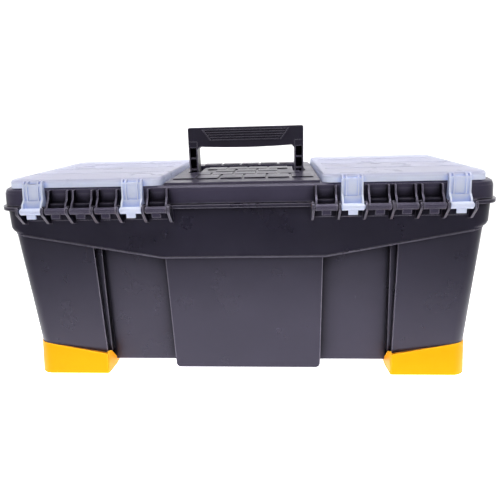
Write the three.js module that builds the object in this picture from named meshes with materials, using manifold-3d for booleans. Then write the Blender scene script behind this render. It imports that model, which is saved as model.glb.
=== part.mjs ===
// A plastic toolbox: a deep tub on four corner feet, a hinged lid that carries two organiser bins under
// clear lids, a fold-down carrying handle, a lift-out tray, and latches.
// Millimetres, +Z up, X along the box. -Y is the hinge side and +Y the latch side.
import * as THREE from "three";
import { mergeVertices } from "three/addons/utils/BufferGeometryUtils.js";
import Module from "manifold-3d";

const wasm = await Module();
wasm.setup();

// ---- driving dimensions -------------------------------------------------------------------------
const WALL = 2.7;
const GAP = 0.3;

// Tub: its outer half sizes at the top of the lower body, and how far each surface draws in at the floor.
const FLOOR_Z = 8;
const BODY_TOP_Z = 210;
const BODY_HALF = { x: 297.5, y: 120 };
const BODY_DRAFT = { x: 2.5, y: 20 };
const BODY_RADIUS = 20;
const PILLAR_X = { top: 191.5, bottom: 197 };
const LEDGE = { widthTop: 8.5, widthBottom: 4, step: 6, low: 27 };
const PANEL_X = 100.5;
const PANEL_CORNER = 6;
const PANEL_SKIRT = { low: 3.8, thick: 8 };
const RECESS = { top: 108, bottom: 84 };
const BAND_HALF = { x: 303, y: 121.5 };
const BAND_RADIUS = 22;
const BAND_LOW_Z = 171;
const BAND_END_Z = 206;
const BAND_KNEE_X = 103;
const BAND_BEAD = { x: 280, high: 1.8, proud: 0.9 };
const BAND_TUCK = 5;
const RIM = { x: 309, y: 125.5, radius: 27, low: 235.5, high: 240 };

// Feet: each wraps a lower corner of the tub and flares out towards the ground.
const FOOT = {
  x0: 195.5,
  depth: 62,
  high: 45,
  slopeX: 0.19,
  slopeY: 0.25,
  flareX: 1.2,
  flareY: 12.2,
  lip: 0.4,
  skin: 2.4,
  lapZ: 50,
};

// Lid: its skirt, top and organiser bins.
const LID_HALF = { x: 306.5, y: 121 };
const LID_RADIUS = 25;
const LID_LOW_Z = 241;
const LID_TOP_Z = 262.5;
const LID_WALL = 2.5;
const BIN = { x0: 103, x1: 286.5, y: 109.5, floor: 228, radius: 12, wall: 2, collar: 1.5, collarZ: 260.7 };
const PLATFORM = { x: 96.5, y0: -116, y1: 112, z: 266 };
const TILE = { pitch: 30.5, half: 13.4, high: 1.2 };
const TILE_ROWS = [
  { y0: -86, y1: -50, columns: 6 },
  { y0: -46, y1: -18.5, columns: 5 },
  { y0: -12.5, y1: 11.5, columns: 3 },
  { y0: 15.5, y1: 42.5, columns: 4 },
  { y0: 87, y1: 108, columns: 5 },
];

// Hinge: one axis for the lid and both clear lids, held between ribs that stand on the tub.
const AXIS = { y: -136.5, z: 236.5 };
const RIB_X0 = 86;
const RIB_PITCH = 31;
const RIB_COUNT = 7;
const RIB = { thick: 3, outer: 6.5, hole: 2.75, tailY: -130, tailZ: 220, strip: 1.6 };
const KNUCKLE = { half: 12.75, web: 2.2, bar: 4.2, stub: 2.3, stubReach: 2.5, tabHalf: 5.4, tabLow: 227.5 };
// Heights of the shelf across a knuckle: low on the lid, higher on the clear lids.
const KNUCKLE_SHELF = { lid: [242.7, 244.7], clear: [246.5, 248.5] };
const LID_SLOTS = [0, 2, 3, 4];
const CLEAR_SLOTS = [1, 5];

// Clear lids.
const CLEAR = { x0: 98.5, x1: 292, y: 118.5, low: 263, high: 273.5, wall: 2, radius: 12 };
const CLEAR_RIDGES_Y = [-60, 0, 60];

// Handle: it stands up at rest and folds towards +Y about its pins.
const PIVOT_Z = 250;
const HANDLE = { x: 81, leg: 12.5, y: 12, top: 328, gripLow: 303, bow: 3, foot: 12, fillet: 6 };
const GRIP_RIB = { count: 5, z0: 311, pitch: 3.4, half: 47, widen: 2.7, thick: 1, proud: 1.1 };
const WELL = { x0: 66.5, x1: 84, y0: -14, y1: 81.5, floor: 236.5 };
const GRIP_BAY = { x: 84, y0: 46.5, y1: 81.5 };
const PIN = { r: 2.9, bore: 3, x0: 64.5, x1: 88 };

// Lid latches, on the +Y side.
const LATCH = { x: 146, half: 23.5, pivotY: 128.6, pivotZ: 252, low: 206, pinR: 1.5, bore: 1.6 };
const MOUNT = { backY: 121.3, plateY: 123.3, low: 243, high: 259, ear: 4 };
const CATCH = { y: 124.2, z0: 214, z1: 220 };

// Small latches of the clear lids, also on the +Y side.
const CLIP = {
  x: 196,
  half: 15,
  y0: 122,
  y1: 124.6,
  low: 247,
  pivotY: 122.4,
  pivotZ: 266.5,
  eye: 2.3,
  pin: 1.1,
  ear: 3,
};

// Tray and dividers.
const TRAY = { x: 286, y: 97, low: 177.3, high: 221, draftX: 4, draftY: 7, radius: 14, wall: 2.5 };
const TRAY_WALL_X = [93, 186];
const TRAY_GRIP = { x: 60, post: 10, foot: 196, bar: 224, top: 233 };
const TRAY_SHELF = { x0: 277, y: 78, z0: 170, z1: 177 };
const DIVIDER_Y = [-54, 0, 54];
const DIVIDER = { thick: 2, top: 258, keeper: 1.4 };

// The model is built about the tub's middle, then moved so that the origin is under the middle of its box.
const HINGE_REACH = -(AXIS.y - RIB.outer);
const LATCH_REACH = 137;
const SHIFT_Y = (HINGE_REACH - LATCH_REACH) / 2;

// ---- solids -------------------------------------------------------------------------------------
function solid(geometry) {
  const bare = new THREE.BufferGeometry();
  const source = geometry.index ? geometry.toNonIndexed() : geometry;
  bare.setAttribute("position", source.getAttribute("position"));
  const merged = mergeVertices(bare, 1e-3);
  return new wasm.Manifold(
    new wasm.Mesh({
      numProp: 3,
      vertProperties: merged.attributes.position.array,
      triVerts: new Uint32Array(merged.index.array),
    }),
  );
}

function geometryOf(body) {
  const mesh = body.getMesh();
  const geometry = new THREE.BufferGeometry();
  geometry.setAttribute("position", new THREE.BufferAttribute(mesh.vertProperties, 3));
  geometry.setIndex(new THREE.BufferAttribute(mesh.triVerts, 1));
  geometry.computeVertexNormals();
  return geometry;
}

const join = (...bodies) => bodies.flat().reduce((a, b) => a.add(b));
const cut = (body, ...tools) => tools.flat().reduce((a, b) => a.subtract(b), body);

// The range from a to b on one side of the middle: side is 1 or -1.
const span = (side, a, b) => (side > 0 ? [a, b] : [-b, -a]);

function block([x0, x1], [y0, y1], [z0, z1]) {
  const box = new THREE.BoxGeometry(x1 - x0, y1 - y0, z1 - z0);
  return solid(box.translate((x0 + x1) / 2, (y0 + y1) / 2, (z0 + z1) / 2));
}

// A block that is symmetrical about y = 0, with other x ranges and half depths at its foot than at its head.
function wedge(low, high, [z0, z1]) {
  const box = new THREE.BoxGeometry(2, 2, z1 - z0);
  const at = box.attributes.position;
  for (let i = 0; i < at.count; i++) {
    const { xs, y } = at.getZ(i) < 0 ? low : high;
    at.setX(i, at.getX(i) < 0 ? xs[0] : xs[1]);
    at.setY(i, at.getY(i) * y);
  }
  return solid(box.translate(0, 0, (z0 + z1) / 2));
}

function roundedOutline([x0, x1], [y0, y1], radius) {
  const outline = new THREE.Shape();
  outline.absarc(x1 - radius, y1 - radius, radius, 0, Math.PI / 2);
  outline.absarc(x0 + radius, y1 - radius, radius, Math.PI / 2, Math.PI);
  outline.absarc(x0 + radius, y0 + radius, radius, Math.PI, 1.5 * Math.PI);
  outline.absarc(x1 - radius, y0 + radius, radius, 1.5 * Math.PI, 2 * Math.PI);
  return outline;
}

// A stack of round-cornered sections. Each level is [z, inset along X, inset along Y].
function stack(xs, ys, radius, levels, curveSegments = 5) {
  const steps = levels.length - 1;
  const outline = roundedOutline(xs, ys, radius);
  const made = new THREE.ExtrudeGeometry(outline, { depth: 1, steps, bevelEnabled: false, curveSegments });
  const middle = { x: (xs[0] + xs[1]) / 2, y: (ys[0] + ys[1]) / 2 };
  const at = made.attributes.position;
  for (let i = 0; i < at.count; i++) {
    const [z, insetX, insetY] = levels[Math.round(at.getZ(i) * steps)];
    const x = at.getX(i) - Math.sign(at.getX(i) - middle.x) * insetX;
    const y = at.getY(i) - Math.sign(at.getY(i) - middle.y) * insetY;
    at.setXYZ(i, x, y, z);
  }
  return solid(made);
}

// An outline given as a shape or as a list of points.
function shapeOf(outline) {
  if (outline instanceof THREE.Shape) return outline;
  return new THREE.Shape(outline.map(([a, b]) => new THREE.Vector2(a, b)));
}

// An outline of [x, z] points, or a Shape in those axes, drawn out along Y.
function alongY(outline, [y0, y1], curveSegments = 8) {
  const shape = shapeOf(outline);
  const made = new THREE.ExtrudeGeometry(shape, { depth: y1 - y0, bevelEnabled: false, curveSegments });
  return solid(made.rotateX(Math.PI / 2).translate(0, y1, 0));
}

// An outline of [y, z] points, or a Shape in those axes, drawn out along X.
function alongX(outline, [x0, x1], curveSegments = 5) {
  const shape = shapeOf(outline);
  const made = new THREE.ExtrudeGeometry(shape, { depth: x1 - x0, bevelEnabled: false, curveSegments });
  const axes = [new THREE.Vector3(0, 1, 0), new THREE.Vector3(0, 0, 1), new THREE.Vector3(1, 0, 0)];
  return solid(made.applyMatrix4(new THREE.Matrix4().makeBasis(...axes)).translate(x0, 0, 0));
}

function rod(radius, [x0, x1], y, z, sides = 16) {
  const made = new THREE.CylinderGeometry(radius, radius, x1 - x0, sides);
  return solid(made.rotateZ(Math.PI / 2).translate((x0 + x1) / 2, y, z));
}

// ---- tub ----------------------------------------------------------------------------------------
const SIDES = [-1, 1];
const bodyLevels = (inset, z0, z1) => {
  const share = (z) => (BODY_TOP_Z - z) / (BODY_TOP_Z - FLOOR_Z);
  return [z0, z1].map((z) => [z, inset + BODY_DRAFT.x * share(z), inset + BODY_DRAFT.y * share(z)]);
};
const between = (x) => [-x, x];

// The whole lower body with no recesses, drawn in by inset on every side.
function bodyEnvelope(inset, z0, z1) {
  const radius = BODY_RADIUS - inset;
  const xs = between(BODY_HALF.x);
  const ys = between(BODY_HALF.y);
  return stack(xs, ys, Math.max(radius, 5), bodyLevels(inset, z0, z1));
}

const panelFace = () => roundedOutline(between(PANEL_X), [PANEL_SKIRT.low, BODY_TOP_Z + 30], PANEL_CORNER);

// Pillars, side ledges, middle panel and recessed panels, drawn in by inset. They all run from the floor.
function bodyRelief(inset) {
  const zs = [FLOOR_Z, BODY_TOP_Z];
  const half = { low: BODY_HALF.y - BODY_DRAFT.y - inset, high: BODY_HALF.y - inset };
  const beyond = (side, x, y) => ({ xs: span(side, x + inset, 330), y });
  const ends = SIDES.map((s) =>
    wedge(beyond(s, PILLAR_X.bottom, half.low), beyond(s, PILLAR_X.top, half.high), zs),
  );
  const { widthTop, widthBottom, step, low } = LEDGE;
  const ledges = SIDES.map((s) =>
    wedge(
      beyond(s, PILLAR_X.bottom - widthBottom, half.low - step),
      beyond(s, PILLAR_X.top - widthTop, half.high - step),
      zs,
    ).intersect(block(between(330), between(150), [low + inset, BODY_TOP_Z])),
  );
  const panelXs = between(PANEL_X - inset);
  const middle = wedge({ xs: panelXs, y: half.low }, { xs: panelXs, y: half.high }, zs);
  const face = inset
    ? roundedOutline(panelXs, [FLOOR_Z, BODY_TOP_Z + 30], 1)
    : panelFace();
  const coreXs = between(330);
  const core = wedge({ xs: coreXs, y: RECESS.bottom - inset }, { xs: coreXs, y: RECESS.top - inset }, zs);
  return join(ends, ledges, middle.intersect(alongY(face, between(150), 3)), core);
}

// The height of the band's lower edge where it crosses the plane of the outline, out at x = 330.
const BAND_FALL = (BAND_END_Z - BAND_LOW_Z) / (BAND_HALF.x - BAND_KNEE_X);
const BAND_FAR_Z = BAND_LOW_Z + BAND_FALL * (330 - BAND_KNEE_X);

function band(inset, top) {
  const outline = [
    [-330, BAND_FAR_Z + inset],
    [-BAND_KNEE_X, BAND_LOW_Z + inset],
    [BAND_KNEE_X, BAND_LOW_Z + inset],
    [330, BAND_FAR_Z + inset],
    [330, top],
    [-330, top],
  ];
  const tucked = inset + BAND_TUCK;
  const levels = [
    [BAND_LOW_Z - 1, tucked, inset],
    [BAND_END_Z, tucked, inset],
    [BAND_END_Z + 2, inset + 2, inset],
    [BAND_END_Z + 6, inset, inset],
    [top, inset, inset],
  ];
  const plan = stack(between(BAND_HALF.x), between(BAND_HALF.y), BAND_RADIUS - inset, levels);
  return alongY(outline, between(BAND_HALF.y + 1)).intersect(plan);
}

// The bead along the band's lower edge.
function bead() {
  const { high, proud } = BAND_BEAD;
  const outline = [
    [-330, BAND_FAR_Z],
    [-BAND_KNEE_X, BAND_LOW_Z],
    [BAND_KNEE_X, BAND_LOW_Z],
    [330, BAND_FAR_Z],
    [330, BAND_FAR_Z + high],
    [BAND_KNEE_X, BAND_LOW_Z + high],
    [-BAND_KNEE_X, BAND_LOW_Z + high],
    [-330, BAND_FAR_Z + high],
  ];
  const around = (grow, z0, z1) => {
    const radius = BAND_RADIUS + grow;
    const size = { x: between(BAND_HALF.x + grow), y: between(BAND_HALF.y + grow) };
    return stack(size.x, size.y, radius, [[z0, 0, 0], [z1, 0, 0]]);
  };
  const ring = cut(around(proud, BAND_LOW_Z - 1, RIM.low), around(-1, BAND_LOW_Z - 2, RIM.low + 1));
  const reach = block(between(BAND_BEAD.x), between(BAND_HALF.y + 5), [BAND_LOW_Z - 1, RIM.low]);
  return alongY(outline, between(BAND_HALF.y + 5)).intersect(ring.intersect(reach));
}

// A rib's outline: a snap hook round the hinge axis, and a tail down to the tub's wall, clear of the rim.
function ribOutline() {
  const shape = new THREE.Shape();
  const degrees = THREE.MathUtils.degToRad;
  const wallY = -BAND_HALF.y - GAP;
  const rimY = -RIM.y - GAP;
  shape.moveTo(wallY, RIM.low - GAP);
  shape.lineTo(rimY, RIM.low - GAP);
  shape.lineTo(rimY, RIM.high);
  shape.lineTo(AXIS.y + RIB.outer, RIM.high);
  shape.absarc(AXIS.y, AXIS.z, RIB.outer, degrees(40), degrees(95), false);
  shape.absarc(AXIS.y, AXIS.z, RIB.hole, degrees(95), degrees(-235), true);
  shape.absarc(AXIS.y, AXIS.z, RIB.outer, degrees(125), degrees(235), false);
  shape.lineTo(RIB.tailY, RIB.tailZ);
  shape.lineTo(wallY, RIB.tailZ - 2);
  return shape;
}

// Seven ribs on one backing strip, against the tub's wall and under its rim.
function hingeRack(side) {
  const outline = ribOutline();
  const ribs = [...Array(RIB_COUNT).keys()].map((k) => {
    const x = side * (RIB_X0 + RIB_PITCH * k);
    return alongX(outline, [x - RIB.thick / 2, x + RIB.thick / 2], 4);
  });
  const last = RIB_X0 + RIB_PITCH * (RIB_COUNT - 1);
  const ys = [-BAND_HALF.y - GAP - RIB.strip, -BAND_HALF.y - GAP];
  return join(block(span(side, RIB_X0, last), ys, [RIB.tailZ + 2, RIM.low - GAP]), ribs);
}

function footEnvelope(sideX, sideY, grow) {
  const levels = [
    [0, BODY_DRAFT.x - FOOT.flareX - grow, BODY_DRAFT.y - FOOT.flareY - grow],
    ...bodyLevels(-FOOT.lip - grow, FOOT.high, FOOT.lapZ + 5),
  ];
  const corner = stack(between(BODY_HALF.x), between(BODY_HALF.y), BODY_RADIUS, levels);
  const xs = span(sideX, FOOT.x0 - grow, 330);
  const frontY = BODY_HALF.y - BODY_DRAFT.y;
  const ys = span(sideY, frontY + FOOT.flareY - FOOT.depth - grow, 140);
  const top = FOOT.high + grow;
  const topAt = (x, y) => top - FOOT.slopeX * (BODY_HALF.x - x) - FOOT.slopeY * (frontY - y);
  const clipped = new THREE.BoxGeometry(xs[1] - xs[0], ys[1] - ys[0], 1);
  clipped.translate((xs[0] + xs[1]) / 2, (ys[0] + ys[1]) / 2, 0.5);
  const at = clipped.attributes.position;
  for (let i = 0; i < at.count; i++) {
    if (at.getZ(i) > 0.5) at.setZ(i, topAt(Math.abs(at.getX(i)), Math.abs(at.getY(i))));
    else at.setZ(i, -1);
  }
  return corner.intersect(solid(clipped));
}

// What the tub keeps inside each foot.
const footCore = (grow) => bodyEnvelope(FOOT.skin - grow, FLOOR_Z - grow, FOOT.lapZ + 10);

function tub() {
  const outer = join(
    bodyRelief(0).intersect(bodyEnvelope(0, FLOOR_Z, BODY_TOP_Z)),
    band(0, RIM.high - 1),
    bead(),
    stack(between(RIM.x), between(RIM.y), RIM.radius, [[RIM.low, 0, 0], [RIM.high, 0, 0]]),
  );
  const lowInset = WALL + FOOT.skin + GAP;
  const cavity = join(
    bodyRelief(WALL).intersect(bodyEnvelope(lowInset, FLOOR_Z + WALL, FOOT.lapZ + 1)),
    bodyRelief(WALL).intersect(bodyEnvelope(WALL, FOOT.lapZ, BODY_TOP_Z)),
    band(WALL, RIM.high + 1),
  );
  const rebates = SIDES.flatMap((sx) => SIDES.map((sy) => cut(footEnvelope(sx, sy, GAP), footCore(0))));
  const { x0: shelfX, y: shelfY, z0: shelfLow, z1: shelfHigh } = TRAY_SHELF;
  const intoWall = BODY_HALF.x - WALL + 0.5;
  const shelves = SIDES.map((s) => block(span(s, shelfX, intoWall), between(shelfY), [shelfLow, shelfHigh]));
  const catches = SIDES.map((s) =>
    block(span(s, LATCH.x - 18, LATCH.x + 18), [BAND_HALF.y - 1, CATCH.y], [CATCH.z0, CATCH.z1]),
  );
  const skirtY = BODY_HALF.y - BODY_DRAFT.y;
  const skirts = SIDES.map((s) =>
    alongY(panelFace(), span(s, skirtY - PANEL_SKIRT.thick, skirtY), 3).intersect(
      block(between(PANEL_X), between(150), [0, FLOOR_Z + 1]),
    ),
  );
  return join(cut(outer, cavity, rebates), shelves, catches, skirts);
}

// A foot, with the gusset on its inner side that closes the corner under the recessed panel.
function foot(sideX, sideY) {
  const corners = (list) => list.map(([x, y, z]) => [sideX * x, sideY * y, z]);
  const outerX = FOOT.x0 + GAP;
  const upper = corners([
    [194.2, 111.5, 0], [194.2, 104.8, 30], [192, 99, 29], [191.5, 84.6, 12], [192, 84.6, 0],
    [outerX, 111.5, 0], [outerX, 104.8, 30], [outerX, 99, 29], [outerX, 84.6, 12], [outerX, 84.6, 0],
  ]);
  const base = corners([
    [192, 85, 0], [192, 85, 7.7], [193.5, 60, 0], [193.5, 60, 7.7],
    [outerX, 85, 0], [outerX, 85, 7.7], [outerX, 60, 0], [outerX, 60, 7.7],
  ]);
  const gusset = [wasm.Manifold.hull(upper), wasm.Manifold.hull(base)];
  return join(cut(footEnvelope(sideX, sideY, 0), footCore(GAP)), gusset);
}

// ---- hinge knuckles -----------------------------------------------------------------------------
const slotCentre = (slot) => RIB_X0 + RIB_PITCH * (slot + 0.5);

// A web's outline from the lid's edge at topY, topZ to the bar on the hinge axis.
function webOutline(insideY, topZ) {
  const shape = new THREE.Shape();
  const degrees = THREE.MathUtils.degToRad;
  shape.moveTo(insideY, topZ);
  shape.lineTo(-125.5, topZ);
  shape.lineTo(-128.5, 250);
  shape.lineTo(AXIS.y + 2.5, 244.5);
  shape.absarc(AXIS.y, AXIS.z, KNUCKLE.bar, degrees(80), degrees(290), false);
  shape.lineTo(AXIS.y + 7.5, 237);
  shape.lineTo(-124.6, 242);
  shape.lineTo(insideY, 242);
  return shape;
}

// The parts that every knuckle has: two webs, a shelf, the bar with its end stubs, and the stop tab.
function knuckle(x, insideY, topZ, shelfZ) {
  const { half, web } = KNUCKLE;
  const outline = webOutline(insideY, topZ);
  const webs = [x - half, x + half - web].map((near) => alongX(outline, [near, near + web], 4));
  const across = [x - half + 1, x + half - 1];
  const shelf = block(across, [-129, insideY], shelfZ);
  const skirt = block(across, [AXIS.y + 6.5, AXIS.y + 8], [239.5, shelfZ[1] - 0.5]);
  const bar = rod(KNUCKLE.bar, [x - half, x + half], AXIS.y, AXIS.z, 12);
  const reach = half + KNUCKLE.stubReach;
  const stubs = rod(KNUCKLE.stub, [x - reach, x + reach], AXIS.y, AXIS.z, 12);
  const tabXs = [x - KNUCKLE.tabHalf, x + KNUCKLE.tabHalf];
  const tab = block(tabXs, [AXIS.y - 2.8, AXIS.y - 0.2], [KNUCKLE.tabLow, AXIS.z]);
  return join(webs, shelf, skirt, bar, stubs, tab);
}

// ---- lid ----------------------------------------------------------------------------------------
function tiles() {
  return TILE_ROWS.flatMap(({ y0, y1, columns }) =>
    [...Array(columns).keys()].map((k) => {
      const x = (k - (columns - 1) / 2) * TILE.pitch;
      return block([x - TILE.half, x + TILE.half], [y0, y1], [PLATFORM.z - 1, PLATFORM.z + TILE.high]);
    }),
  );
}

// A bin's outline, grown on every side, from z0 to z1.
function binForm(side, grow, z0, z1) {
  const xs = span(side, BIN.x0 - grow, BIN.x1 + grow);
  return stack(xs, between(BIN.y + grow), BIN.radius + grow, [[z0, 0, 0], [z1, 0, 0]], 3);
}

// Ribs on a bin's end walls that hold its dividers upright.
function dividerKeepers(side) {
  const ends = [[BIN.x0 - 1, BIN.x0 + 3], [BIN.x1 - 3, BIN.x1 + 1]];
  return DIVIDER_Y.flatMap((y) =>
    [-1, 1].flatMap((s) => {
      const near = y + s * (DIVIDER.thick / 2 + GAP);
      const ys = s > 0 ? [near, near + DIVIDER.keeper] : [near - DIVIDER.keeper, near];
      return ends.map(([a, b]) => block(span(side, a, b), ys, [BIN.floor - 1, 250]));
    }),
  );
}

// An organiser bin: it hangs in the lid by a collar that rests on the lid's top.
function organiserBin(side) {
  const collar = [BIN.collarZ, BIN.collarZ + BIN.collar];
  const shell = join(
    binForm(side, BIN.wall, BIN.floor - BIN.wall, collar[1]),
    binForm(side, BIN.wall + BIN.collar, ...collar),
  );
  return join(cut(shell, binForm(side, 0, BIN.floor, LID_TOP_Z + 5)), dividerKeepers(side));
}

function lid() {
  const shell = stack(between(LID_HALF.x), between(LID_HALF.y), LID_RADIUS, [
    [LID_LOW_Z, 0, 0],
    [256, 1, 0.6],
    [260.5, 2.6, 2],
    [LID_TOP_Z, 6, 5],
  ]);
  const underside = stack(between(LID_HALF.x - WALL), between(LID_HALF.y - WALL), LID_RADIUS - WALL, [
    [LID_LOW_Z - 2, 0, 0],
    [LID_TOP_Z - LID_WALL, 1, 1],
  ]);
  const t = LID_WALL;
  const binSeats = SIDES.map((s) => binForm(s, BIN.wall + GAP, LID_LOW_Z, LID_TOP_Z + 5));
  const binRims = SIDES.map((s) => binForm(s, BIN.wall + BIN.collar + GAP, BIN.collarZ - GAP, LID_TOP_Z + 5));
  const platform = stack(between(PLATFORM.x), [PLATFORM.y0, PLATFORM.y1], 4, [
    [LID_TOP_Z - 2, 0, 0],
    [PLATFORM.z, 1.2, 1.2],
  ], 2);
  const platformHollow = block(
    between(PLATFORM.x - t),
    [PLATFORM.y0 + t, PLATFORM.y1 - t],
    [LID_TOP_Z - LID_WALL - 1, PLATFORM.z - t],
  );
  const wellZs = [WELL.floor - t, PLATFORM.z - 1];
  const wellBoxes = SIDES.map((s) =>
    block(span(s, WELL.x0 - t, WELL.x1 + t + 1), [WELL.y0 - t, WELL.y1 + t], wellZs),
  );
  const wells = SIDES.map((s) => block(span(s, WELL.x0, WELL.x1), [WELL.y0, WELL.y1], [WELL.floor, 270]));
  const bayXs = between(GRIP_BAY.x);
  const bayBox = block(between(GRIP_BAY.x + t + 1), [GRIP_BAY.y0 - t, GRIP_BAY.y1 + t], wellZs);
  const bay = block(bayXs, [GRIP_BAY.y0, GRIP_BAY.y1], [WELL.floor, 270]);
  const pinHoles = SIDES.map((s) => rod(PIN.bore, span(s, PIN.x0 - GAP, PIN.x1 + 3), 0, PIVOT_Z));
  const knuckles = SIDES.flatMap((s) =>
    LID_SLOTS.map((k) => knuckle(s * slotCentre(k), -119, 260, KNUCKLE_SHELF.lid)),
  );
  const top = cut(join(cut(shell, underside), platform, tiles()), platformHollow);
  const skin = join(top, wellBoxes, bayBox);
  return join(cut(skin, binSeats, binRims, wells, bay, pinHoles), knuckles);
}

const divider = (side, y) =>
  block(
    span(side, BIN.x0 + GAP, BIN.x1 - GAP),
    [y - DIVIDER.thick / 2, y + DIVIDER.thick / 2],
    [BIN.floor + GAP, DIVIDER.top],
  );

// ---- clear lids ---------------------------------------------------------------------------------
function clearLid(side) {
  const xs = span(side, CLEAR.x0, CLEAR.x1);
  const inner = span(side, CLEAR.x0 + CLEAR.wall, CLEAR.x1 - CLEAR.wall);
  const shell = stack(xs, between(CLEAR.y), CLEAR.radius, [
    [CLEAR.low, 0, 0],
    [270.3, 0.4, 0.4],
    [272.6, 1.6, 1.6],
    [CLEAR.high, 4, 4],
  ]);
  const hollow = stack(inner, between(CLEAR.y - CLEAR.wall), CLEAR.radius - CLEAR.wall, [
    [CLEAR.low - 1, 0, 0],
    [CLEAR.high - CLEAR.wall, 2, 2],
  ]);
  const ridgeXs = span(side, CLEAR.x0 + 8, CLEAR.x1 - 8);
  const ridgeZs = [CLEAR.high - 1, CLEAR.high + 0.8];
  const ridges = CLEAR_RIDGES_Y.map((y) => block(ridgeXs, [y - 1.5, y + 1.5], ridgeZs));
  const arms = CLEAR_SLOTS.map((k) => {
    const x = side * slotCentre(k);
    const half = KNUCKLE.half;
    const bridge = block([x - half, x + half], [-125.5, -117.5], [265.5, 268.5]);
    const face = alongX([[-123.2, 266], [-123.2, 249], [-126.8, 249], [-125, 268.5], [-123.2, 268.5]], [
      x - half + 1,
      x + half - 1,
    ]);
    const ribs = [-7, 7].map((dx) =>
      alongX([[-123, 268], [-123, 248], [-128.5, 248], [-126.4, 268]], [x + dx - 0.7, x + dx + 0.7]),
    );
    const finOutline = [[-117.8, 272], [-117.8, 266], [-126.2, 266], [-125.2, 269.5], [-122.5, 272]];
    const fins = [-half + 1.1, -7, 7, half - 1.1].map((dx) => alongX(finOutline, [x + dx - 1, x + dx + 1]));
    return join(bridge, face, ribs, fins, knuckle(x, -121.3, 268.5, KNUCKLE_SHELF.clear));
  });
  const earOutline = [[117.5, 269.5], [117.5, 264], [124.4, 264], [125, 265.5], [125, 268], [123.6, 269.5]];
  const ears = [-1, 1].map((end) => {
    const near = CLIP.x + end * (CLIP.half + GAP);
    const across = end > 0 ? [near, near + CLIP.ear] : [near - CLIP.ear, near];
    return alongX(earOutline, span(side, ...across));
  });
  const sockets = rod(CLIP.pin + 0.1, span(side, CLIP.x - 25, CLIP.x + 25), CLIP.pivotY, CLIP.pivotZ, 10);
  return join(cut(shell, hollow), ridges, arms, cut(join(ears), sockets));
}

// A clear lid's own snap latch: a flap that hangs from two ears, in front of the lid's wall.
function clip(side) {
  const { x, half, y0, y1, low, pivotY, pivotZ, eye, pin, ear } = CLIP;
  const outline = [
    [y0, pivotZ],
    [y0, 250],
    [y1 + 0.6, low],
    [y1 + 2.6, low + 0.5],
    [y1, 251.5],
    [y1, pivotZ],
  ];
  const xs = span(side, x - half, x + half);
  const axle = rod(pin, span(side, x - half - ear, x + half + ear), pivotY, pivotZ, 10);
  return join(alongX(outline, xs), rod(eye, xs, pivotY, pivotZ, 12), axle);
}

// ---- handle -------------------------------------------------------------------------------------
function handle() {
  const shape = new THREE.Shape();
  const { x, gripLow, top, bow } = HANDLE;
  shape.moveTo(-x, gripLow);
  shape.quadraticCurveTo(0, gripLow - 2 * bow, x, gripLow);
  shape.lineTo(x, top - 1.5);
  shape.lineTo(x - 1.5, top);
  shape.lineTo(1.5 - x, top);
  shape.lineTo(-x, top - 1.5);
  const grip = alongY(shape, between(HANDLE.y - 0.5), 10);
  const proud = between(HANDLE.y + GRIP_RIB.proud - 0.5);
  const lines = [...Array(GRIP_RIB.count).keys()].map((k) => {
    const z = GRIP_RIB.z0 + k * GRIP_RIB.pitch;
    const reach = GRIP_RIB.half + k * GRIP_RIB.widen;
    return block(between(reach), proud, [z - GRIP_RIB.thick / 2, z + GRIP_RIB.thick / 2]);
  });
  const [low, high] = [GRIP_RIB.z0 - 0.6, GRIP_RIB.z0 + (GRIP_RIB.count - 1) * GRIP_RIB.pitch + 0.6];
  const frame = SIDES.map((s) => {
    const foot = GRIP_RIB.half + 1;
    const head = foot + (GRIP_RIB.count - 1) * GRIP_RIB.widen;
    return alongY([[s * foot, low], [s * (foot + 2), low], [s * (head + 2), high], [s * head, high]], proud);
  });
  const legs = SIDES.map((s) => {
    const xs = span(s, x - HANDLE.leg, x);
    const post = block(xs, between(HANDLE.y), [PIVOT_Z, gripLow + 6]);
    const round = rod(HANDLE.foot, xs, 0, PIVOT_Z, 20);
    const pockets = [256, 271.5, 287].map((z) =>
      block(span(s, x - HANDLE.leg + 1.8, x - 1.8), [-HANDLE.y - 1, 6], [z, z + 13.5]),
    );
    const bore = rod(PIN.bore, span(s, x - HANDLE.leg - 1, x + 1), 0, PIVOT_Z);
    const inner = x - HANDLE.leg;
    const fillet = [
      [s * (inner + 1), gripLow + 1],
      [s * (inner - HANDLE.fillet), gripLow + 1],
      [s * (inner + 1), gripLow - HANDLE.fillet],
    ];
    const web = alongY(fillet, between(HANDLE.y - 0.5));
    return cut(join(post, round, web), pockets, bore);
  });
  return join(grip, lines, frame, legs);
}

const handlePin = (side) => rod(PIN.r, span(side, PIN.x0, PIN.x1), 0, PIVOT_Z);

// ---- lid latches --------------------------------------------------------------------------------
// The bracket on the lid's wall: a back plate with an ear at each end that carries the latch's pin.
function latchMount(side) {
  const { backY, plateY, low, high, ear } = MOUNT;
  const outline = [[backY, high], [backY, low], [130.5, 245], [133, 249], [133, 255], [129.5, 258.5]];
  const ends = [-1, 1].map((end) => {
    const near = LATCH.x + end * (LATCH.half + GAP);
    const xs = end > 0 ? [near, near + ear] : [near - ear, near];
    return alongX(outline, span(side, ...xs));
  });
  const reach = LATCH.half + GAP + ear / 2;
  const plate = block(span(side, LATCH.x - reach, LATCH.x + reach), [backY, plateY], [low, high]);
  const bore = rod(LATCH.bore, span(side, LATCH.x - 40, LATCH.x + 40), LATCH.pivotY, LATCH.pivotZ, 12);
  return cut(join(plate, ends), bore);
}

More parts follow.
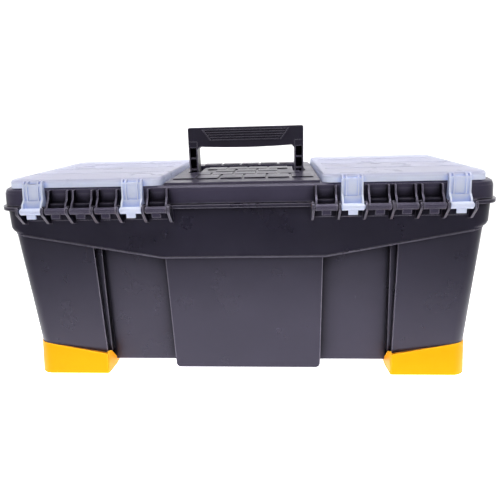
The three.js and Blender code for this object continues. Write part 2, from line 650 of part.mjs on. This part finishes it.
function latch(side) {
  const xs = span(side, LATCH.x - LATCH.half, LATCH.x + LATCH.half);
  const outline = [
    [126.5, LATCH.pivotZ],
    [126.5, 215],
    [124.6, 213],
    [124.6, 209.5],
    [127.2, LATCH.low + 2],
    [LATCH_REACH - 1, LATCH.low],
    [LATCH_REACH, LATCH.low + 3],
    [132.1, 214],
    [132.8, LATCH.pivotZ],
  ];
  const round = rod(4.2, xs, LATCH.pivotY, LATCH.pivotZ, 16);
  const bore = rod(LATCH.bore, [xs[0] - 1, xs[1] + 1], LATCH.pivotY, LATCH.pivotZ, 12);
  const window = block(span(side, LATCH.x - 14, LATCH.x + 14), [130, 145], [220, 240]);
  return cut(join(alongX(outline, xs), round), bore, window);
}

const latchPin = (side) => {
  const reach = LATCH.half + MOUNT.ear + GAP;
  return rod(LATCH.pinR, span(side, LATCH.x - reach, LATCH.x + reach), LATCH.pivotY, LATCH.pivotZ, 12);
};

// ---- tray ---------------------------------------------------------------------------------------
function tray() {
  const levels = (z0, inset) => [
    [z0, TRAY.draftX + inset, TRAY.draftY + inset],
    [TRAY.high + (inset ? 1 : 0), inset, inset],
  ];
  const xs = between(TRAY.x);
  const ys = between(TRAY.y);
  const outer = stack(xs, ys, TRAY.radius, levels(TRAY.low, 0), 4);
  const inner = stack(xs, ys, TRAY.radius - TRAY.wall, levels(TRAY.low + TRAY.wall, TRAY.wall), 4);
  const [innerX, outerX] = TRAY_WALL_X;
  const spine = [
    ...SIDES.map((s) => block(span(s, innerX, TRAY.x - 4), [-1.2, 1.2], [TRAY.low + 1, TRAY.high - 6])),
    block(between(innerX), [-3.5, 3.5], [TRAY.low + 1, TRAY_GRIP.foot]),
  ];
  const walls = [-outerX, -innerX, innerX, outerX].map((x) =>
    block([x - 1.1, x + 1.1], between(TRAY.y - 6), [TRAY.low + 1, TRAY.high - 8]),
  );
  return join(cut(outer, inner), spine, walls);
}

// The grip that lifts the tray: two posts on its spine and a bar across them.
function trayGrip() {
  const { x, post, foot, bar, top } = TRAY_GRIP;
  const posts = SIDES.map((s) => block(span(s, x - post, x), [-3.5, 3.5], [foot + GAP, bar + 1]));
  const levels = [[bar, 0, 0], [top - 2, 0, 0], [top, 1.5, 1.5]];
  return join(posts, stack(between(x), between(7), 5, levels, 3));
}

// ---- scene graph --------------------------------------------------------------------------------
const plastic = (color, roughness) => new THREE.MeshStandardMaterial({ color, roughness, metalness: 0 });
const BLACK = plastic(0x1f1d24, 0.45);
const YELLOW = plastic(0xffc20e, 0.45);
const TRAY_GREY = plastic(0x2b2a30, 0.5);
const CLEAR_PLASTIC = new THREE.MeshStandardMaterial({
  color: 0xdfe3f2,
  roughness: 0.3,
  metalness: 0,
  transparent: true,
  opacity: 0.6,
});
const STEEL = new THREE.MeshStandardMaterial({ color: 0xb8bbc0, roughness: 0.3, metalness: 1 });

const toolbox = new THREE.Group();
toolbox.position.y = SHIFT_Y;

function add(name, body, material) {
  const mesh = new THREE.Mesh(geometryOf(body), material);
  mesh.name = name;
  toolbox.add(mesh);
}

add("tub", tub(), BLACK);
add("lid", lid(), BLACK);
add("handle", handle(), BLACK);
add("tray", tray(), TRAY_GREY);
add("tray_grip", trayGrip(), TRAY_GREY);
for (const [sideName, side] of [["left", -1], ["right", 1]]) {
  add(`foot_hinge_side_${sideName}`, foot(side, -1), YELLOW);
  add(`foot_latch_side_${sideName}`, foot(side, 1), YELLOW);
  add(`hinge_rack_${sideName}`, hingeRack(side), BLACK);
  add(`organiser_bin_${sideName}`, organiserBin(side), BLACK);
  add(`clear_lid_${sideName}`, clearLid(side), CLEAR_PLASTIC);
  add(`clear_lid_clip_${sideName}`, clip(side), CLEAR_PLASTIC);
  add(`handle_pin_${sideName}`, handlePin(side), STEEL);
  add(`latch_${sideName}`, latch(side), YELLOW);
  add(`latch_mount_${sideName}`, latchMount(side), BLACK);
  add(`latch_pin_${sideName}`, latchPin(side), STEEL);
  DIVIDER_Y.forEach((y, k) => add(`divider_${sideName}_${k + 1}`, divider(side, y), TRAY_GREY));
}

export default toolbox;
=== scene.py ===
import math

import bpy
from mathutils import Matrix, Vector

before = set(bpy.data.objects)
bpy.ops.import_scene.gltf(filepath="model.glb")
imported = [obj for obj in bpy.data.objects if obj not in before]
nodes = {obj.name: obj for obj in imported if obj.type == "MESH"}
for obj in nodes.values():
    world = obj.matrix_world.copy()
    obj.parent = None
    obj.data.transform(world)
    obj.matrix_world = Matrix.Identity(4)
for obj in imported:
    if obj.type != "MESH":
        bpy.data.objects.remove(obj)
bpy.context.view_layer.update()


# ---- node helpers -------------------------------------------------------------------------------
class Graph:
    """A material's node tree, with short calls for what these materials use."""

    def __init__(self, name):
        self.material = bpy.data.materials.new(name)
        self.material.use_nodes = True
        self.tree = self.material.node_tree
        self.tree.nodes.clear()
        self.output = self.add("ShaderNodeOutputMaterial")
        self.place = self.add("ShaderNodeTexCoord").outputs["Object"]

    def add(self, kind, **settings):
        node = self.tree.nodes.new(kind)
        for key, value in settings.items():
            setattr(node, key, value)
        return node

    def link(self, source, target):
        self.tree.links.new(source, target)

    def fill(self, socket, value):
        """Sets a socket to a constant, or links it."""
        if isinstance(value, bpy.types.NodeSocket):
            self.link(value, socket)
        else:
            socket.default_value = value

    def stretched(self, scale):
        mapping = self.add("ShaderNodeMapping")
        mapping.inputs["Scale"].default_value = scale
        self.link(self.place, mapping.inputs["Vector"])
        return mapping.outputs["Vector"]

    def noise(self, scale, detail=3.0, rough=0.5, vector=None):
        node = self.add("ShaderNodeTexNoise")
        node.inputs["Scale"].default_value = scale
        node.inputs["Detail"].default_value = detail
        node.inputs["Roughness"].default_value = rough
        self.link(vector or self.place, node.inputs["Vector"])
        return node.outputs["Fac"]

    def math(self, operation, a, b=0.0):
        node = self.add("ShaderNodeMath", operation=operation)
        self.fill(node.inputs[0], a)
        self.fill(node.inputs[1], b)
        return node.outputs[0]

    def ramp(self, value, low, high, to_low=0.0, to_high=1.0):
        node = self.add("ShaderNodeMapRange")
        node.clamp = True
        self.link(value, node.inputs["Value"])
        for key, number in zip(("From Min", "From Max", "To Min", "To Max"), (low, high, to_low, to_high)):
            node.inputs[key].default_value = number
        return node.outputs["Result"]

    def mix(self, factor, a, b):
        node = self.add("ShaderNodeMix", data_type="RGBA")
        self.fill(node.inputs["Factor"], factor)
        self.fill(node.inputs["A"], a)
        self.fill(node.inputs["B"], b)
        return node.outputs["Result"]

    def bump(self, height, strength, distance, below=None):
        node = self.add("ShaderNodeBump")
        node.inputs["Strength"].default_value = strength
        node.inputs["Distance"].default_value = distance
        self.link(height, node.inputs["Height"])
        if below is not None:
            self.link(below, node.inputs["Normal"])
        return node.outputs["Normal"]

    def edges(self, radius, low, high):
        """1 on sharp outer and inner edges, 0 on flat faces."""
        soft = self.add("ShaderNodeBevel", samples=4)
        soft.inputs["Radius"].default_value = radius
        true = self.add("ShaderNodeNewGeometry").outputs["True Normal"]
        dot = self.add("ShaderNodeVectorMath", operation="DOT_PRODUCT")
        self.link(soft.outputs["Normal"], dot.inputs[0])
        self.link(true, dot.inputs[1])
        return self.ramp(dot.outputs["Value"], high, low)

    def pocket_shade_mask(self, reach, low, high, to_low=0.0, to_high=1.0):
        """Ambient-occlusion mask for painted shade: low down in pockets and grooves, high on open faces."""
        node = self.add("ShaderNodeAmbientOcclusion", samples=8, only_local=True)
        node.inputs["Distance"].default_value = reach
        return self.ramp(node.outputs["AO"], low, high, to_low, to_high)


def colour(r, g, b):
    return (r, g, b, 1.0)


PLASTIC_IOR = 1.49
# Reach of the painted shade in pockets, and the gloss it leaves there.
PAINTED_SHADE_REACH = 0.030
PAINTED_SHADE_GLOSS = 0.1
ROUGHNESS_SPREAD = 0.06
# Heights between which a clear lid turns from its arms and skirt into its top sheet.
SHEET_TOP_Z = (0.268, 0.2722)


def moulded(name, base, light, scuff_and_highlight, roughness, grain, gloss=(1.0, 1.0, 1.0), level=0.5, painted_shade_keep=0.15):
    """Moulded plastic with a fine grain, cloudy colour, faint scratches, and edges painted lighter: partly
    wear from rubbing, partly a painted highlight.

    Pockets narrower than the painted-shade reach are painted darker and less glossy, a painted shade; the
    last argument is how much colour they keep.
    """
    g = Graph(name)
    cloud = g.ramp(g.noise(9, 4, 0.6), 0.3, 0.7)
    fleck = g.ramp(g.noise(260, 2, 0.6), 0.45, 0.72)
    drift = g.mix(cloud, colour(*base), colour(*light))
    speck = g.mix(g.math("MULTIPLY", fleck, 0.25), drift, colour(*light))
    along = g.noise(7, 5, 0.7, g.stretched((3.0, 40.0, 90.0)))
    across = g.noise(6, 5, 0.7, g.stretched((80.0, 30.0, 4.0)))
    scratch = g.math("MAXIMUM", g.ramp(along, 0.69, 0.78), g.ramp(across, 0.70, 0.80))
    patch = g.ramp(g.noise(5, 2), 0.5, 0.66)
    scratched = g.math("MULTIPLY", scratch, patch)
    # Edges painted lighter: partly wear from rubbing, partly a painted highlight where light catches the
    # edges; the scratches share this colour.
    edge_wear_and_highlight = g.math("MULTIPLY", g.edges(0.0022, 0.90, 0.99), g.ramp(g.noise(35, 4), 0.3, 0.7, 0.7, 1.0))
    wear_and_highlight = g.math("MAXIMUM", g.math("MULTIPLY", edge_wear_and_highlight, 0.85), g.math("MULTIPLY", scratched, 0.35))
    # Painted shade: ambient occlusion darkens the colour and dims the gloss in pockets and grooves.
    unshaded = g.pocket_shade_mask(PAINTED_SHADE_REACH, 0.50, 0.92)
    tint = g.mix(wear_and_highlight, speck, colour(*scuff_and_highlight))
    tint = g.mix(unshaded, colour(*(painted_shade_keep * part for part in base)), tint)
    shader = g.add("ShaderNodeBsdfPrincipled")
    g.link(tint, shader.inputs["Base Color"])
    smooth, rough = roughness - ROUGHNESS_SPREAD, roughness + ROUGHNESS_SPREAD
    dull = g.ramp(g.noise(22, 5, 0.6), 0.3, 0.72, smooth, rough)
    g.link(g.math("ADD", dull, g.math("MULTIPLY", scratched, 0.12)), shader.inputs["Roughness"])
    fine = g.bump(g.noise(grain, 3, 0.65), 0.28, 0.00025)
    wave = g.bump(g.noise(14, 2), 0.10, 0.002, fine)
    g.link(g.bump(scratched, 0.12, 0.0002, wave), shader.inputs["Normal"])
    shader.inputs["IOR"].default_value = PLASTIC_IOR
    shader.inputs["Specular IOR Level"].default_value = level
    shaded_gloss = colour(*(PAINTED_SHADE_GLOSS * part for part in gloss))
    g.link(g.mix(unshaded, shaded_gloss, colour(*gloss)), shader.inputs["Specular Tint"])
    g.link(shader.outputs["BSDF"], g.output.inputs["Surface"])
    return g.material


def milky(name):
    """Translucent polypropylene: cloudy, with faint flow lines, and bluer and denser in the arms. The arms
    are painted lighter and the top sheet darker, painted light and shade for how the lamps fall on them;
    pockets in the arms get painted shade and the edges a painted near-white highlight.
    """
    g = Graph(name)
    apart = g.add("ShaderNodeSeparateXYZ")
    g.link(g.place, apart.inputs[0])
    top = g.ramp(apart.outputs["Z"], *SHEET_TOP_Z)
    cloud = g.ramp(g.noise(12, 4, 0.6), 0.3, 0.7)
    flow = g.ramp(g.noise(5, 5, 0.6, g.stretched((4.0, 14.0, 14.0))), 0.35, 0.7)
    # Painted light and shade: the arms are painted lighter and the top sheet darker, for the light the top
    # gets more of.
    arms = g.mix(cloud, colour(0.86, 0.90, 1.0), colour(0.94, 0.96, 1.0))
    sheet = g.mix(cloud, colour(0.76, 0.75, 0.87), colour(0.82, 0.81, 0.91))
    # Painted shade: pockets in the arms darker and bluer.
    arms = g.mix(g.pocket_shade_mask(0.010, 0.45, 0.9), colour(0.56, 0.66, 0.95), arms)
    body = g.mix(top, arms, sheet)
    body = g.mix(g.math("MULTIPLY", flow, 0.06), body, colour(0.80, 0.80, 0.90))
    # Painted highlight: edges painted nearly white.
    painted_edge_highlight = g.edges(0.0012, 0.88, 0.985)
    body = g.mix(g.math("MULTIPLY", painted_edge_highlight, 0.6), body, colour(0.95, 0.96, 1.0))
    shader = g.add("ShaderNodeBsdfPrincipled")
    g.link(body, shader.inputs["Base Color"])
    g.link(g.ramp(g.noise(24, 5, 0.6), 0.3, 0.7, 0.24, 0.40), shader.inputs["Roughness"])
    fine = g.bump(g.noise(700, 3, 0.6), 0.15, 0.0002)
    g.link(g.bump(g.noise(18, 2), 0.10, 0.0015, fine), shader.inputs["Normal"])
    shader.inputs["IOR"].default_value = PLASTIC_IOR
    glow = g.add("ShaderNodeBsdfTranslucent")
    g.link(body, glow.inputs["Color"])
    solid = g.add("ShaderNodeMixShader")
    solid.inputs["Fac"].default_value = 0.35
    g.link(shader.outputs["BSDF"], solid.inputs[1])
    g.link(glow.outputs["BSDF"], solid.inputs[2])
    clear = g.add("ShaderNodeBsdfTransparent")
    clear.inputs["Color"].default_value = colour(0.90, 0.92, 1.0)
    through = g.add("ShaderNodeMixShader")
    thin = g.ramp(flow, 0.0, 1.0, 0.42, 0.40)
    g.link(g.math("MULTIPLY", thin, g.ramp(top, 0.0, 1.0, 0.3, 1.0)), through.inputs["Fac"])
    g.link(solid.outputs["Shader"], through.inputs[1])
    g.link(clear.outputs["BSDF"], through.inputs[2])
    g.link(through.outputs["Shader"], g.output.inputs["Surface"])
    return g.material


def steel(name):
    """Drawn steel rod with fine lines along it."""
    g = Graph(name)
    lines = g.noise(60, 4, 0.6, g.stretched((2.0, 60.0, 60.0)))
    tint = g.mix(g.ramp(lines, 0.3, 0.7), colour(0.42, 0.42, 0.44), colour(0.62, 0.62, 0.64))
    shader = g.add("ShaderNodeBsdfPrincipled")
    g.link(tint, shader.inputs["Base Color"])
    shader.inputs["Metallic"].default_value = 1.0
    g.link(g.ramp(g.noise(40, 3), 0.3, 0.7, 0.24, 0.42), shader.inputs["Roughness"])
    g.link(g.bump(lines, 0.2, 0.0002), shader.inputs["Normal"])
    g.link(shader.outputs["BSDF"], g.output.inputs["Surface"])
    return g.material


COOL_GLOSS = (0.82, 0.765, 1.0)
WARM_GLOSS = (1.0, 0.7, 0.1)
BLACK = moulded(
    "black_pp",
    base=(0.0050, 0.0043, 0.0105),
    light=(0.0090, 0.0078, 0.0165),
    scuff_and_highlight=(0.26, 0.24, 0.30),
    roughness=0.31,
    grain=900,
    gloss=COOL_GLOSS,
    level=0.45,
)
# A copy of the black painted several times lighter: painted light standing in for the light the lid's front
# wall catches. The bins and latch mounts use it too.
LIGHTENED_BLACK = moulded(
    "black_pp_painted_lighter",
    base=(0.028, 0.0245, 0.043),
    light=(0.038, 0.033, 0.057),
    scuff_and_highlight=(0.20, 0.185, 0.235),
    roughness=0.36,
    grain=900,
    gloss=COOL_GLOSS,
    level=0.3,
)
GRIP_BLACK = moulded(
    "black_pp_handle",
    base=(0.009, 0.0078, 0.014),
    light=(0.014, 0.0122, 0.021),
    scuff_and_highlight=(0.20, 0.185, 0.235),
    roughness=0.33,
    grain=1100,
    gloss=COOL_GLOSS,
    level=0.35,
)
TRAY_GREY = moulded(
    "grey_pp_tray",
    base=(0.03, 0.029, 0.033),
    light=(0.045, 0.043, 0.049),
    scuff_and_highlight=(0.2, 0.2, 0.21),
    roughness=0.48,
    grain=900,
)
YELLOW = moulded(
    "yellow_pp",
    base=(0.90, 0.31, 0.001),
    light=(0.94, 0.35, 0.002),
    scuff_and_highlight=(1.0, 0.62, 0.05),
    roughness=0.44,
    grain=900,
    gloss=WARM_GLOSS,
    level=0.35,
    painted_shade_keep=0.85,
)
CLEAR = milky("milky_pp")
STEEL = steel("drawn_steel")


# ---- CAD nodes: cleaned facets, rounded edges, materials ----------------------------------------
WELD_REACH = 0.00002
FLAT_ANGLE = 0.6
EDGE_ANGLE = 28


def soften(obj, width, segments):
    """Joins the facets, merges flat ones and rounds the edges that turn by more than EDGE_ANGLE degrees."""
    weld = obj.modifiers.new("weld", "WELD")
    weld.merge_threshold = WELD_REACH
    flat = obj.modifiers.new("flat", "DECIMATE")
    flat.decimate_type = "DISSOLVE"
    flat.angle_limit = math.radians(FLAT_ANGLE)
    bevel = obj.modifiers.new("bevel", "BEVEL")
    bevel.width = width
    bevel.segments = segments
    bevel.limit_method = "ANGLE"
    bevel.angle_limit = math.radians(EDGE_ANGLE)
    bevel.use_clamp_overlap = True
    bevel.harden_normals = False
    for polygon in obj.data.polygons:
        polygon.use_smooth = True
    normal = obj.modifiers.new("normal", "WEIGHTED_NORMAL")
    normal.keep_sharp = True
    normal.weight = 60


def finish_node(name, material, width, segments=2):
    obj = nodes[name]
    obj.data.materials.clear()
    obj.data.materials.append(material)
    soften(obj, width, segments)


SIDES = ("left", "right")
finish_node("tub", BLACK, 0.0011, 3)
finish_node("lid", LIGHTENED_BLACK, 0.0008, 3)
finish_node("handle", GRIP_BLACK, 0.0008, 3)
finish_node("tray", TRAY_GREY, 0.0006)
finish_node("tray_grip", TRAY_GREY, 0.0008, 3)
for side in SIDES:
    finish_node(f"hinge_rack_{side}", BLACK, 0.0006)
    finish_node(f"organiser_bin_{side}", LIGHTENED_BLACK, 0.0005)
    finish_node(f"foot_hinge_side_{side}", YELLOW, 0.0012, 3)
    finish_node(f"foot_latch_side_{side}", YELLOW, 0.0012, 3)
    finish_node(f"latch_{side}", YELLOW, 0.0007, 3)
    finish_node(f"clear_lid_{side}", CLEAR, 0.0005)
    finish_node(f"clear_lid_clip_{side}", CLEAR, 0.0004)
    finish_node(f"handle_pin_{side}", STEEL, 0.0003)
    finish_node(f"latch_mount_{side}", LIGHTENED_BLACK, 0.0004)
    finish_node(f"latch_pin_{side}", STEEL, 0.0003)
    for k in (1, 2, 3):
        finish_node(f"divider_{side}_{k}", TRAY_GREY, 0.0004)


# ---- camera -------------------------------------------------------------------------------------
def aim(location, yaw, pitch, roll, lens):
    """A camera at location. Yaw turns it towards +X, pitch tips it down and roll turns the picture."""
    data = bpy.data.cameras.new("camera")
    data.lens = lens
    data.sensor_width = 36.0
    data.clip_start = 0.01
    data.clip_end = 50.0
    obj = bpy.data.objects.new("camera", data)
    bpy.context.scene.collection.objects.link(obj)
    y, p, r = (math.radians(v) for v in (yaw, pitch, roll))
    forward = Vector((math.sin(y) * math.cos(p), math.cos(y) * math.cos(p), -math.sin(p)))
    level = Vector((math.cos(y), -math.sin(y), 0.0))
    down = forward.cross(level)
    right = math.cos(r) * level + math.sin(r) * down
    low = -math.sin(r) * level + math.cos(r) * down
    turn = Matrix((right, -low, -forward)).transposed()
    obj.matrix_world = Matrix.Translation(location) @ turn.to_4x4()
    bpy.context.scene.camera = obj


aim((0.0443, -0.6767, 0.3422), yaw=-3.61, pitch=16.09, roll=1.6, lens=33.47)


# ---- room and light -----------------------------------------------------------------------------
# The floor's glow goes from the third number to the fourth between the first two distances, in metres.
GLOW_NEAR = (0.24, 0.50, 1.8, 0.0)
GLOW_FAR = (1.9, 3.0, 0.0, 0.32)


def floor_sheet():
    """A pale floor that curves up into a backdrop all round.

    It gives off light near the object, which the lower walls mirror, and far out, to whiten the
    backdrop.
    """
    rings = [(0.0, 0.0), (1.2, 0.0), (2.6, 0.0), (3.4, 0.12), (4.0, 0.55), (4.3, 1.3), (4.4, 3.2)]
    around = 48
    verts, faces = [(0.0, 0.0, 0.0)], []
    for radius, z in rings[1:]:
        for k in range(around):
            a = 2 * math.pi * k / around
            verts.append((radius * math.cos(a), radius * math.sin(a), z))
    for k in range(around):
        faces.append((0, 1 + k, 1 + (k + 1) % around))
    for ring in range(len(rings) - 2):
        low, high = 1 + ring * around, 1 + (ring + 1) * around
        for k in range(around):
            n = (k + 1) % around
            faces.append((low + k, high + k, high + n, low + n))
    mesh = bpy.data.meshes.new("floor")
    mesh.from_pydata(verts, [], faces)
    for polygon in mesh.polygons:
        polygon.use_smooth = True
    obj = bpy.data.objects.new("floor", mesh)
    obj.location.z = -0.0004
    bpy.context.scene.collection.objects.link(obj)
    g = Graph("floor")
    shader = g.add("ShaderNodeBsdfPrincipled")
    tone = g.mix(g.noise(2.0, 2), colour(0.90, 0.90, 0.905), colour(0.93, 0.93, 0.93))
    g.link(tone, shader.inputs["Base Color"])
    shader.inputs["Roughness"].default_value = 0.7
    shader.inputs["Specular IOR Level"].default_value = 0.2
    apart = g.add("ShaderNodeSeparateXYZ")
    g.link(g.place, apart.inputs[0])
    aside = g.math("MULTIPLY", apart.outputs["X"], 0.8)
    ahead = g.math("MINIMUM", apart.outputs["Y"], g.math("MULTIPLY", apart.outputs["Y"], 0.4))
    squares = g.math("ADD", g.math("MULTIPLY", aside, aside), g.math("MULTIPLY", ahead, ahead))
    distance = g.math("SQRT", squares)
    shader.inputs["Emission Color"].default_value = colour(1.0, 0.99, 1.0)
    radius = g.add("ShaderNodeVectorMath", operation="LENGTH")
    g.link(g.place, radius.inputs[0])
    near = g.ramp(distance, *GLOW_NEAR)
    far = g.ramp(radius.outputs["Value"], *GLOW_FAR)
    g.link(g.math("ADD", near, far), shader.inputs["Emission Strength"])
    g.link(shader.outputs["BSDF"], g.output.inputs["Surface"])
    mesh.materials.append(g.material)


def softbox(name, location, target, size, power, spread):
    """A rectangular lamp: size in metres, power in watts and spread in degrees."""
    data = bpy.data.lights.new(name, "AREA")
    data.shape = "RECTANGLE"
    data.size, data.size_y = size
    data.energy = power
    data.spread = math.radians(spread)
    obj = bpy.data.objects.new(name, data)
    obj.location = location
    obj.rotation_euler = (Vector(target) - Vector(location)).to_track_quat("-Z", "Y").to_euler()
    bpy.context.scene.collection.objects.link(obj)


floor_sheet()
softbox("top", (0.0, 1.05, 2.0), (0.0, 0.9, 0.0), (2.8, 1.7), 20, 60)
softbox("backdrop", (0.0, 1.6, 2.4), (0.0, 4.2, 0.6), (5.0, 0.8), 60, 130)
softbox("rim", (0.0, -0.9, 2.2), (0.0, -0.1, 0.2), (1.6, 0.3), 4.0, 45)
softbox("front", (0.0, -2.6, 1.0), (0.0, 0.0, 0.7), (3.4, 0.9), 0.5, 60)
softbox("left", (-2.4, 0.0, 1.2), (0.0, 0.0, 0.2), (1.2, 1.0), 0.4, 120)
softbox("right", (2.4, 0.0, 1.2), (0.0, 0.0, 0.2), (1.2, 1.0), 0.4, 120)

world = bpy.data.worlds.new("room")
world.use_nodes = True
background = world.node_tree.nodes["Background"]
background.inputs["Color"].default_value = (1.0, 1.0, 1.0, 1.0)
background.inputs["Strength"].default_value = 0.05
bpy.context.scene.world = world
bpy.context.scene.view_settings.view_transform = "Standard"
